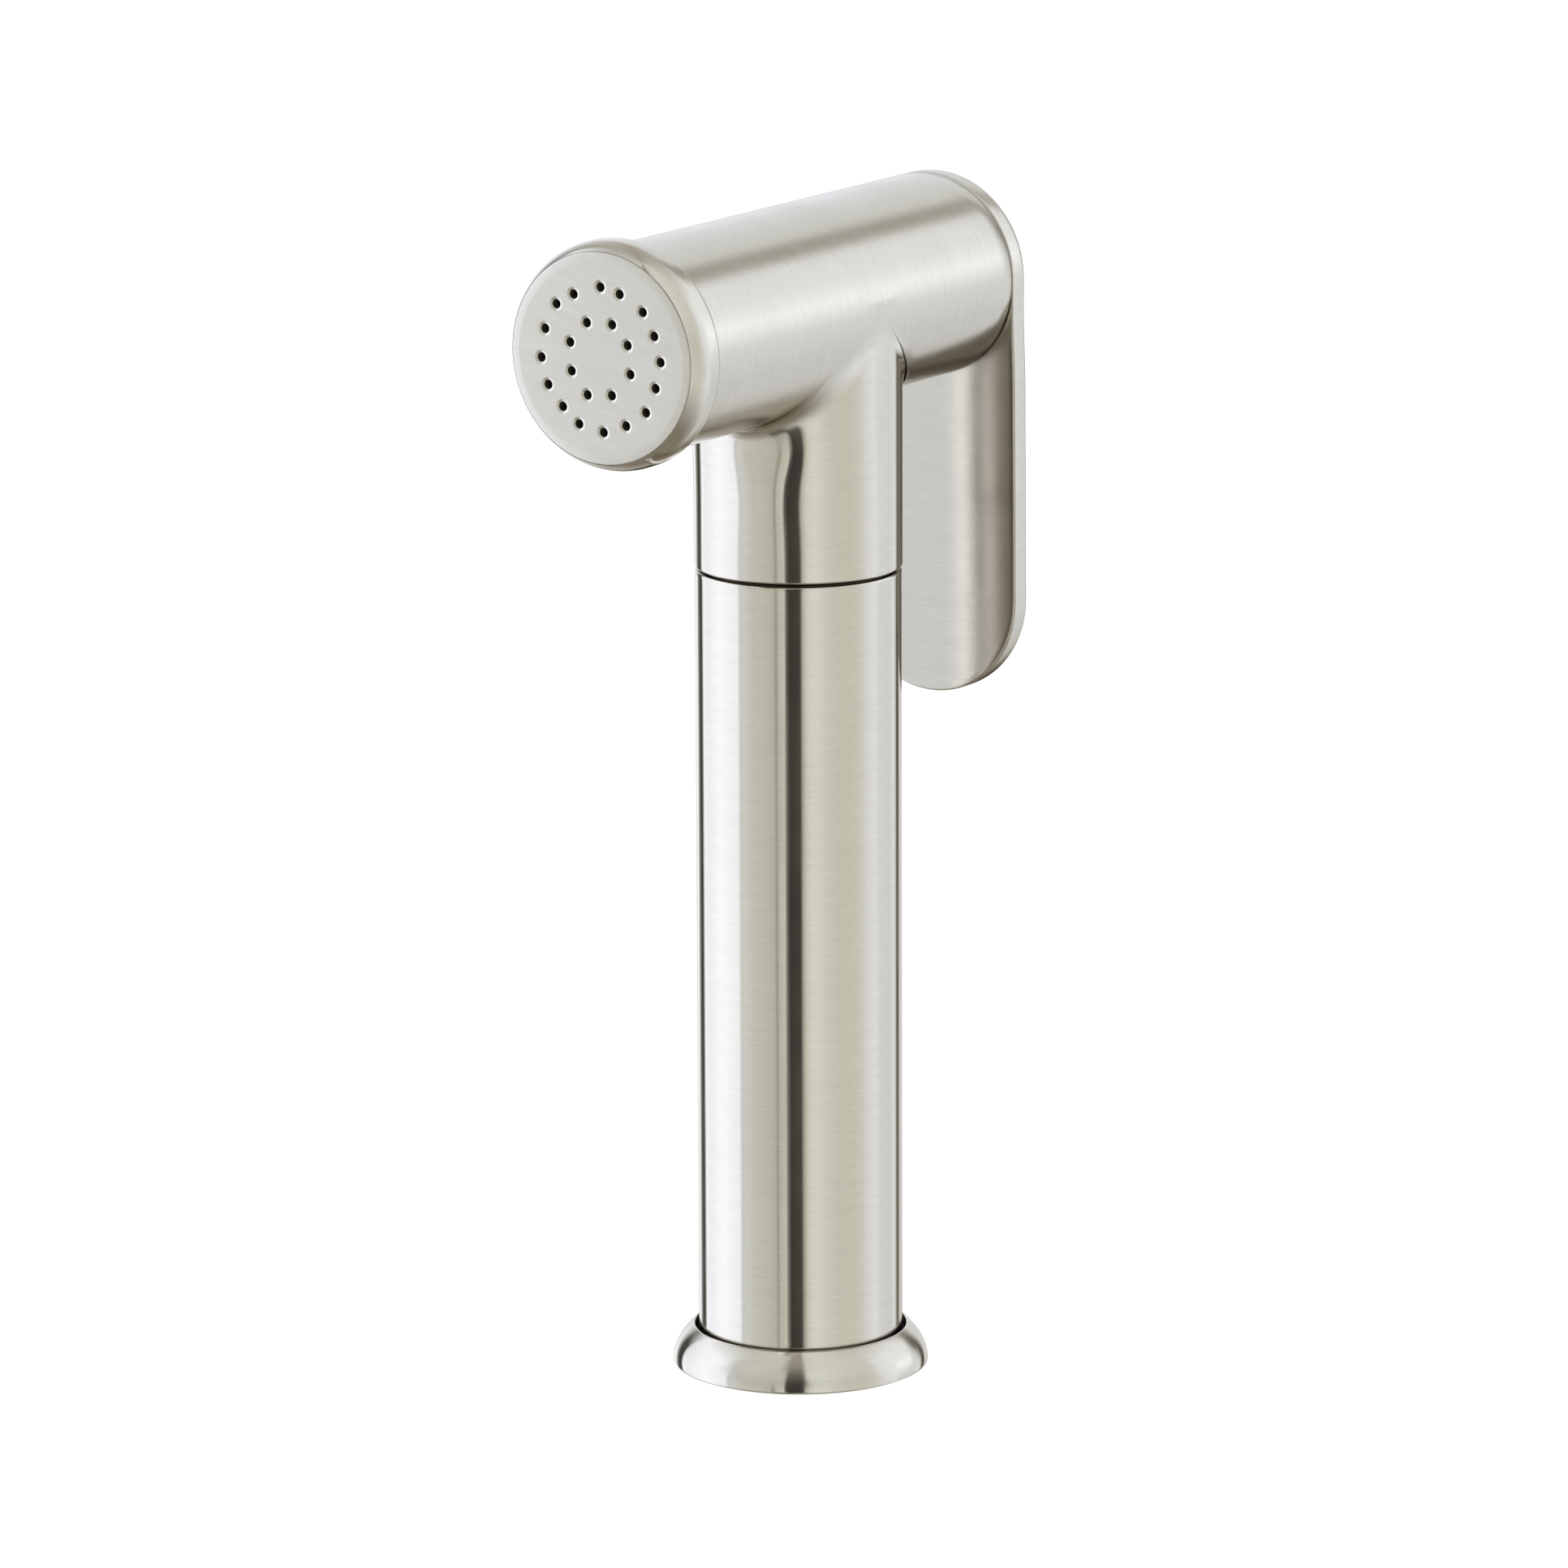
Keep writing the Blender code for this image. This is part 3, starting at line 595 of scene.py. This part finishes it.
def lever():
    """A flat-faced cover with a slightly broken front edge, a straight side wall and a crowned back."""
    sections = [(15.5, 0.0), (12.0, 0.0), (8.0, 0.0), (4.0, 0.0), (1.2, 0.0), (0.42, 0.0), (0.24, 0.02), (0.1, 0.08),
                (0.025, 0.18), (0.0, 0.34), (0.0, 1.4)]
    for k in range(21):
        t = math.radians(90 * k / 20)
        sections.append((CROWN_W * (1 - math.cos(t)), SIDE_T + CROWN_H * math.sin(t)))
    sections += [(13.0, SIDE_T + CROWN_H), (15.5, SIDE_T + CROWN_H)]
    bm = bmesh.new()
    uvl = bm.loops.layers.uv.new("brush")

    def band(a, b):
        n = len(a)
        for k in range(n):
            bm.faces.new((a[k], a[(k + 1) % n], b[(k + 1) % n], b[k]))

    loops = [[bm.verts.new(Vector(p) * MM) for p in stadium(inset, y)] for inset, y in sections]
    for a, b in zip(loops, loops[1:]):
        band(a, b)
    for ring in (loops[0], loops[-1]):  # the middle strip, filled level by level from the top point
        n = len(ring)
        top = 24
        left = [ring[(top + i) % n] for i in range(n // 2 + 1)]
        right = [ring[(top - i) % n] for i in range(n // 2 + 1)]
        for i in range(n // 2):
            corners = (left[i], left[i + 1], right[i + 1], right[i])
            bm.faces.new([v for i, v in enumerate(corners) if v not in corners[:i]])

    def plate(x0, x1, outline):
        a, b = [[bm.verts.new(Vector((x, y, z)) * MM) for y, z in outline] for x in (x0, x1)]
        bm.faces.new(a)
        bm.faces.new(b)
        band(a, b)

    lug = arc(PIVOT_Y, PIVOT_Z, 3.0, 180, 320, 14)  # rounded about the pin
    lug += [(41.4, 158.4), (41.4, 172.0), (33.5, 172.0), (31.0, 169.2), (27.4, 169.2)]
    fork = [(27.4, 163.0), (29.7, 163.0), (29.7, 169.2), (27.4, 169.2)]  # pulls the stem
    for s in (-1, 1):
        plate(s * 4.2, s * 6.6, lug)
        plate(s * 2.4, s * 4.25, fork)
    bmesh.ops.recalc_face_normals(bm, faces=bm.faces)
    for f in bm.faces:
        for loop in f.loops:
            co = loop.vert.co
            loop[uvl].uv = (co.z, co.x + 0.5 * co.y)
    return make("lever_fine", bm, nickel_lever, "lever", "lever", angle=32)


lever()

# ---------------------------------------------------------------- finishes of the carried-over pieces
looks = {
    brass: ("holder_shank", "mounting_nut", "valve_seat", "stem_gland", "washer_retainer"),
    steel: ("mounting_plate", "inlet_strainer", "lever_pin", "valve_stem", "valve_spring"),
    rubber: ("flange_gasket", "mounting_washer", "water_tube_seal_top", "water_tube_seal_low", "inlet_seal",
             "check_valve", "face_gasket", "seat_seal", "gland_seal", "valve_washer"),
    nylon_white: ("water_tube", "flow_disc"),
}
for mat, names in looks.items():
    for name in names:
        for slot in nodes[name].material_slots:
            slot.material = mat

# ---------------------------------------------------------------- camera
AZ, EL, ROLL = math.radians(33.42), math.radians(12.91), math.radians(-0.21)
DISTANCE, AIM_Z, SHIFT_X = 1.38016, 0.092883, -0.002317  # metres
LENS = 203.8882  # millimetres, on a picture 36 mm wide


def camera():
    """A long lens to the right of the spray face and a little above it."""
    right = Vector((math.cos(AZ), math.sin(AZ), 0))
    back = Vector((math.sin(AZ) * math.cos(EL), -math.cos(AZ) * math.cos(EL), math.sin(EL)))
    up = back.cross(right)
    eye = SHIFT_X * right + Vector((0, 0, AIM_Z)) + DISTANCE * back
    rolled_right = math.cos(ROLL) * right + math.sin(ROLL) * up
    rolled_up = -math.sin(ROLL) * right + math.cos(ROLL) * up
    data = bpy.data.cameras.new("camera")
    data.lens = LENS
    data.sensor_width = 36.0
    data.clip_start, data.clip_end = 0.05, 60.0
    cam = bpy.data.objects.new("camera", data)
    cam.matrix_world = Matrix.Translation(eye) @ Matrix((rolled_right, rolled_up, back)).transposed().to_4x4()
    bpy.context.scene.collection.objects.link(cam)
    bpy.context.scene.camera = cam


camera()

# ---------------------------------------------------------------- studio
DECK_HOLE_R, DECK_R = 17.5 * MM, 12.0  # metres: the floor is the deck, with the holder's hole in it


def pale_floor():
    """Matt white that gives a little light of its own. The metal doesn't mirror it."""
    mat, nt, bsdf = new_mat("pale_floor")
    bsdf.inputs["Base Color"].default_value = (0.9, 0.9, 0.9, 1)
    bsdf.inputs["Roughness"].default_value = 0.9
    bsdf.inputs["Specular IOR Level"].default_value = 0.0
    bsdf.inputs["Emission Color"].default_value = (1, 1, 1, 1)
    bsdf.inputs["Emission Strength"].default_value = 0.5
    path = nt.nodes.new("ShaderNodeLightPath")
    clear = nt.nodes.new("ShaderNodeBsdfTransparent")
    either = nt.nodes.new("ShaderNodeMixShader")
    nt.links.new(path.outputs["Is Glossy Ray"], either.inputs[0])
    nt.links.new(bsdf.outputs[0], either.inputs[1])
    nt.links.new(clear.outputs[0], either.inputs[2])
    nt.links.new(either.outputs[0], nt.nodes["Material Output"].inputs[0])
    return mat


def floor():
    bm = bmesh.new()
    steps = 96
    turns = [math.tau * k / steps for k in range(steps)]
    hole, edge = [[bm.verts.new((r * math.cos(t), r * math.sin(t), 0)) for t in turns] for r in (DECK_HOLE_R, DECK_R)]
    for k in range(steps):
        bm.faces.new((hole[k - 1], edge[k - 1], edge[k], hole[k]))
    ob = scene_object("floor", bm)
    ob.data.materials.append(pale_floor())


floor()


def srgb(v):
    v = v / 255.0
    return v / 12.92 if v <= 0.04045 else ((v + 0.055) / 1.055) ** 2.4


# The studio as seen from the object: for each height above the horizon, the shade seen in the metal at each
# angle round from the camera's side. White panels left and right, dark edges behind them, a dark gap in front.
# These shades, and those of HEAD_ROW, were read off the photograph, which is an open failure.
ROWS = {
    -62: [
        (-180, 140, 133, 119), (180, 140, 133, 119),
    ],
    -34: [
        (-180, 206, 204, 198), (-160, 200, 198, 190), (-151, 150, 146, 135), (-146, 96, 92, 82),
        (-137, 96, 92, 82), (-134, 215, 214, 211), (-100, 236, 236, 237), (-86, 222, 222, 222),
        (-80, 180, 176, 166), (-40, 158, 153, 139), (-31, 152, 147, 133), (-28, 70, 66, 60),
        (-14, 62, 59, 54), (-9, 110, 106, 94), (-6, 150, 147, 134), (4, 178, 175, 162), (50, 178, 175, 162),
        (80, 196, 194, 186), (105, 208, 206, 201), (124, 200, 198, 192), (139, 184, 181, 172),
        (155, 188, 185, 176), (170, 200, 198, 190), (180, 206, 204, 198),
    ],
    -23: [
        (-180, 250, 251, 253), (-160, 246, 247, 249), (-152, 165, 164, 160), (-147, 88, 84, 76),
        (-137.2, 60, 56, 48), (-134, 246, 247, 247), (-117, 243, 243, 245), (-100, 251, 251, 252),
        (-83, 246, 246, 247), (-73, 240, 240, 241), (-70, 198, 197, 191), (-62, 202, 201, 195),
        (-52, 198, 195, 185), (-42, 192, 189, 175), (-27, 185, 182, 167), (-20, 178, 174, 158),
        (-13, 190, 186, 172), (-11, 54, 51, 45), (2, 52, 49, 43), (6, 70, 67, 58), (8, 186, 183, 165),
        (18, 210, 209, 196), (32, 204, 202, 188), (48, 196, 193, 177), (66, 198, 194, 178),
        (82, 211, 209, 203), (106, 224, 223, 219), (127, 210, 209, 204), (134, 214, 212, 206),
        (139, 160, 156, 146), (145, 110, 105, 92), (151, 180, 176, 167), (164, 212, 210, 205),
        (180, 240, 240, 240),
    ],
    -13: [
        (-180, 250, 251, 253), (-160, 255, 255, 255), (-155, 242, 243, 246), (-151, 168, 167, 162),
        (-147, 98, 94, 86), (-144, 70, 66, 58), (-137.2, 38, 34, 26), (-135.6, 136, 134, 129),
        (-133.8, 255, 255, 255), (-131, 250, 251, 252), (-125, 238, 238, 240), (-117, 241, 241, 243),
        (-103, 251, 251, 252), (-95, 252, 252, 253), (-83, 245, 245, 247), (-74, 242, 242, 243),
        (-71, 246, 246, 247), (-69.8, 196, 195, 189), (-68.6, 198, 197, 191), (-67.4, 203, 203, 198),
        (-64, 204, 203, 198), (-60, 203, 201, 193), (-56, 198, 194, 183), (-52, 192, 189, 176),
        (-42, 192, 188, 174), (-33, 184, 181, 165), (-27, 177, 173, 157), (-25.9, 128, 124, 106),
        (-24.3, 128, 124, 106), (-23.3, 187, 183, 166), (-17, 200, 196, 182), (-15.2, 204, 200, 186),
        (-14.2, 52, 49, 43), (-11, 52, 49, 44), (0, 56, 53, 48), (2.4, 64, 61, 53), (3.4, 168, 164, 147),
        (4.4, 198, 195, 177), (8, 204, 202, 187), (13, 214, 213, 200), (21, 212, 211, 198),
        (32, 201, 198, 184), (42, 196, 193, 178), (56, 196, 192, 175), (66, 198, 194, 178),
        (75, 201, 197, 185), (82, 212, 210, 205), (93, 219, 218, 213), (106, 228, 227, 223),
        (116, 218, 217, 213), (127, 212, 212, 207), (134, 226, 225, 220), (138, 202, 198, 188),
        (141.5, 98, 93, 81), (145.5, 36, 31, 20), (148.5, 84, 80, 68), (151.5, 196, 193, 184),
        (158, 208, 205, 198), (164, 218, 216, 212), (170, 236, 235, 232), (180, 246, 246, 246),
    ],
    12: [
        (-180, 214, 215, 218), (-158, 214, 216, 217), (-152, 180, 180, 176), (-147, 70, 70, 64),
        (-137, 62, 62, 56), (-134, 226, 226, 226), (-126, 234, 234, 234), (-117, 240, 240, 240),
        (-100, 251, 251, 251), (-79, 240, 240, 242), (-72, 234, 234, 234), (-69, 194, 193, 188),
        (-64, 194, 193, 186), (-59, 184, 182, 170), (-40, 181, 179, 166), (-20, 180, 177, 162),
        (-15, 172, 169, 154), (-13.4, 66, 64, 58), (0, 60, 58, 52), (2.6, 74, 71, 63), (9, 190, 189, 176),
        (20, 203, 203, 191), (40, 190, 188, 175), (60, 190, 187, 172), (68, 198, 196, 184),
        (79, 219, 218, 213), (98, 230, 229, 225), (108, 226, 225, 220), (114, 219, 218, 212),
        (118, 214, 213, 206), (128, 206, 205, 199), (133, 170, 167, 158), (137, 96, 91, 82),
        (144, 100, 96, 87), (148, 170, 168, 160), (154, 215, 215, 212), (165, 208, 208, 206),
        (180, 214, 215, 218),
    ],
    34: [
        (-180, 192, 189, 182), (-165, 200, 199, 194), (-155, 170, 167, 158), (-150, 150, 147, 138),
        (-146, 196, 197, 192), (-141, 236, 238, 238), (-112, 247, 247, 248), (-96, 250, 250, 251),
        (-86, 244, 244, 245), (-81, 226, 226, 224), (-77, 206, 205, 200), (-70, 190, 188, 182),
        (-57, 196, 194, 182), (-43, 194, 192, 179), (-27, 188, 186, 171), (-16, 186, 183, 168),
        (-13, 98, 94, 84), (0, 92, 88, 78), (3, 120, 117, 104), (6, 206, 204, 192), (14, 212, 210, 198),
        (22, 210, 208, 196), (43, 202, 200, 186), (64, 198, 196, 181), (74, 200, 198, 186),
        (83, 219, 218, 213), (101, 230, 229, 225), (112, 230, 229, 225), (125, 214, 214, 209),
        (131, 204, 203, 198), (136, 188, 185, 177), (140, 160, 156, 144), (149, 158, 154, 143),
        (152, 184, 181, 172), (163, 198, 197, 190), (180, 192, 189, 182),
    ],
    62: [
        (-180, 178, 175, 164), (-110, 186, 184, 176), (-88, 192, 190, 177), (-50, 194, 193, 179),
        (-25, 192, 190, 176), (-18, 150, 145, 131), (0, 146, 141, 127), (8, 200, 199, 186),
        (30, 206, 204, 191), (60, 202, 200, 187), (97, 190, 187, 173), (120, 182, 179, 168),
        (180, 178, 175, 164),
    ],
}
# The shades seen round the horizontal head, from straight below (-90) by its right side (0) to the top (90).
HEAD_ROW = [
    (-78.7, 240, 241, 243), (-70, 224, 222, 217), (-66, 206, 201, 190), (-61, 160, 150, 130),
    (-57.5, 56, 48, 37), (-54, 34, 27, 19), (-48, 56, 48, 38), (-44, 72, 63, 50), (-41.5, 114, 105, 87),
    (-36, 134, 127, 110), (-32, 178, 174, 162), (-30, 189, 187, 179), (-24, 198, 194, 189),
    (-18, 198, 197, 191), (-12, 198, 197, 192), (-6, 202, 201, 196), (0, 207, 206, 202), (6, 213, 212, 208),
    (12, 232, 231, 227), (18, 246, 245, 241), (24, 235, 234, 229), (30, 227, 226, 222), (36, 225, 224, 219),
    (42, 224, 222, 218), (45.5, 206, 204, 198), (48, 172, 168, 156), (53, 148, 144, 131), (56, 160, 156, 145),
    (60, 200, 197, 190), (66, 202, 202, 195), (72, 206, 204, 200), (78, 213, 213, 210), (84, 214, 214, 214),
    (90, 226, 227, 230), (96, 236, 237, 240), (101.3, 243, 244, 246),
]
CAMERA_TURN, CAMERA_SPAN = 22.6, 0.5814  # the camera's direction seen along the head: degrees round it, and length
WINDOW, GAP = (1.72, 1.8, 1.88), (0.05, 0.03, 0.01)

world = bpy.data.worlds.new("studio")
bpy.context.scene.world = world
world.use_nodes = True
wt = world.node_tree
wt.nodes.clear()


def wmath(op, a, b=None, c=None):
    """One step of arithmetic on numbers and node outputs."""
    n = wt.nodes.new("ShaderNodeMath")
    n.operation = op
    for i, v in enumerate((a, b, c)):
        if v is None:
            continue
        if isinstance(v, (int, float)):
            n.inputs[i].default_value = v
        else:
            wt.links.new(v, n.inputs[i])
    return n.outputs[0]


def product(*factors):
    out = factors[0]
    for f in factors[1:]:
        out = wmath("MULTIPLY", out, f)
    return out


def wstep(v, lo, hi):
    """A smooth step: 0 at lo and 1 at hi, whichever is the greater."""
    n = wt.nodes.new("ShaderNodeMapRange")
    n.interpolation_type = "SMOOTHSTEP"
    n.inputs["From Min"].default_value = min(lo, hi)
    n.inputs["From Max"].default_value = max(lo, hi)
    n.inputs["To Min"].default_value = 0.0 if lo < hi else 1.0
    n.inputs["To Max"].default_value = 1.0 if lo < hi else 0.0
    wt.links.new(v, n.inputs["Value"])
    return n.outputs["Result"]


def ramp(fac, stops):
    n = wt.nodes.new("ShaderNodeValToRGB")
    elements = n.color_ramp.elements
    elements.remove(elements[-1])
    elements[0].position = stops[0][0]
    elements[0].color = (*stops[0][1], 1)
    for where, colour in stops[1:]:
        elements.new(where).color = (*colour, 1)
    wt.links.new(fac, n.inputs[0])
    return n.outputs[0]


def wmix(fac, a, b):
    n = wt.nodes.new("ShaderNodeMix")
    n.data_type = "RGBA"
    for key, v in (("A", a), ("B", b)):
        if isinstance(v, tuple):
            n.inputs[key].default_value = (*v, 1)
        else:
            wt.links.new(v, n.inputs[key])
    wt.links.new(fac, n.inputs["Factor"])
    return n.outputs["Result"]


def seen(b, *rgb):
    """Radiance behind a shade seen in the metal, which reflects more towards grazing."""
    graze = (1 - abs(math.cos(math.radians(b / 2)))) ** 5
    return tuple(srgb(v) / (m + (1 - m) * graze) for v, m in zip(rgb, METAL))


def seen_along(a, *rgb):
    """The same for a shade seen on the horizontal head at angle a round it."""
    graze = (1 - max(0.0, CAMERA_SPAN * math.cos(math.radians(a - CAMERA_TURN)))) ** 5
    return tuple(srgb(v) / (m + (1 - m) * graze) for v, m in zip(rgb, METAL))


def chain(pos, stops):
    """One row of shades: ramps of up to 25 stops side by side, each starting at the last stop of the one before."""
    out = None
    for start in range(0, len(stops) - 1, 24):
        part = stops[start:start + 25]
        shades = ramp(pos, part)
        out = shades if out is None else wmix(wmath("GREATER_THAN", pos, part[0][0]), out, shades)
    return out


def turned_about(y, x):
    """The direction (x, y) as a fraction of a turn from -0.5 to 0.5."""
    return wmath("WRAP", wmath("DIVIDE", wmath("ARCTAN2", y, x), math.tau), 0.5, -0.5)


def rows_of_shades(pos, height):
    """ROWS, mixed by height above the horizon."""
    out, below = None, 0.0
    for level, stops in sorted(ROWS.items()):
        here = math.sin(math.radians(level))
        shade = chain(pos, [((b + 180) / 360.0, seen(b, *rgb)) for b, *rgb in stops])
        if out is None:
            out = shade
        else:
            t = wmath("MULTIPLY", wmath("SUBTRACT", height, below), 1.0 / (here - below))
            out = wmix(wmath("MAXIMUM", wmath("MINIMUM", t, 1.0), 0.0), out, shade)
        below = here
    return out


def studio():
    """All the light there is: soft panels and gaps round the object, and plain white for the camera."""
    coord = wt.nodes.new("ShaderNodeTexCoord")
    sep = wt.nodes.new("ShaderNodeSeparateXYZ")
    wt.links.new(coord.outputs["Generated"], sep.inputs[0])
    x, y, height = sep.outputs["X"], sep.outputs["Y"], sep.outputs["Z"]
    angle = wmath("ARCTAN2", x, wmath("MULTIPLY", y, -1.0))
    turn = wmath("WRAP", wmath("DIVIDE", wmath("SUBTRACT", angle, AZ), math.tau), 0.5, -0.5)
    pos = wmath("ADD", turn, 0.5)
    env = rows_of_shades(pos, height)

    # the directions that the head and the neck's rear mirror
    round_head = wmath("ADD", turned_about(height, x), 0.5)
    cone = chain(round_head, [((2 * a - CAMERA_TURN + 180) / 360.0, seen_along(a, *rgb)) for a, *rgb in HEAD_ROW])
    env = wmix(product(wstep(y, 0.60, 0.70), wstep(y, 0.935, 0.875)), env, cone)

    # Between the handle and the lever the light bounces again and again: twice it shows a window and a gap
    # beside the handle, and from the third bounce on it only shows the gap.
    path = wt.nodes.new("ShaderNodeLightPath")
    twice = wstep(path.outputs["Glossy Depth"], 1.0, 2.0)
    thrice = wstep(path.outputs["Glossy Depth"], 2.0, 3.0)
    env = wmix(product(wstep(pos, 0.165, 0.18), wstep(pos, 0.235, 0.215), twice), env, WINDOW)
    beside = wmath("MAXIMUM", wstep(pos, 0.90, 0.93), wstep(pos, 0.03, 0.01))
    env = wmix(product(twice, beside, 0.64), env, GAP)
    env = wmix(product(twice, wstep(height, -0.36, -0.44), 0.12), env, GAP)
    env = wmix(product(thrice, 0.6), env, GAP)

    shade = wmix(path.outputs["Is Diffuse Ray"], env, (0.72, 0.72, 0.72))
    shade = wmix(path.outputs["Is Camera Ray"], shade, (1.0, 1.0, 1.0))
    background = wt.nodes.new("ShaderNodeBackground")
    background.inputs["Strength"].default_value = 1.0
    wt.links.new(shade, background.inputs["Color"])
    out = wt.nodes.new("ShaderNodeOutputWorld")
    wt.links.new(background.outputs[0], out.inputs[0])


studio()
bpy.context.scene.view_settings.view_transform = "Standard"
bpy.context.scene.view_settings.look = "None"
